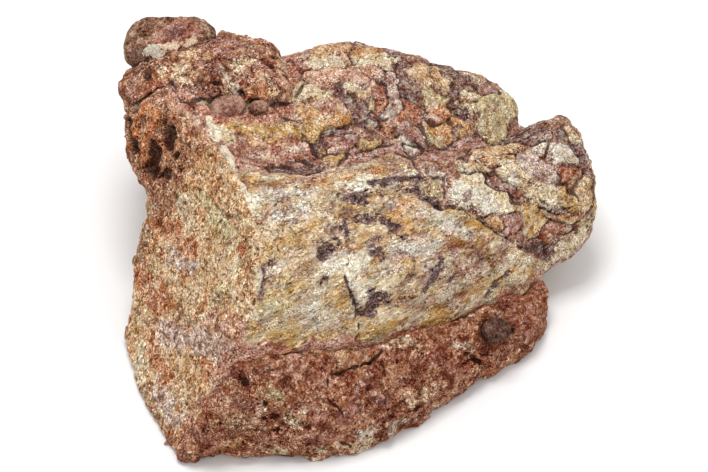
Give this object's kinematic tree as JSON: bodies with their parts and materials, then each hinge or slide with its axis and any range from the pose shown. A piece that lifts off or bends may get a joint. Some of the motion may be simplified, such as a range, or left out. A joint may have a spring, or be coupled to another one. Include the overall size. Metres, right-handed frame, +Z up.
{
  "type": "fossil dinosaur vertebra section",
  "caption": "Broken section of a fossil vertebra: spongy end face, long bone waist and knob, arch plate, red sandstone still stuck on.",
  "frame": {"origin": "middle of the bounding box at the level of the flat broken underside", "axes": "+X along the vertebra from the spongy broken end to the knob, +Y back towards the arch plate, +Z up"},
  "size_m": [0.111, 0.097, 0.0516],
  "materials": {
    "bone": "matte fossil bone, cream and ochre with purple stains",
    "lower_matrix": "rough red-brown sandstone",
    "upper_matrix": "rough gravelly red-brown sandstone",
    "cobble": "worn matte brown stone",
    "flat_pebble": "worn matte mauve-brown stone",
    "small_pebble": "worn matte mauve-brown stone",
    "dark_pebble": "worn matte dark stone"
  },
  "bodies": {
    "root": {"vertebra_bone": "bone", "lower_matrix": "lower_matrix", "upper_matrix": "upper_matrix", "corner_cobble": "cobble", "flat_pebble": "flat_pebble", "small_pebble": "small_pebble", "dark_pebble": "dark_pebble"}
  },
  "joints": []
}
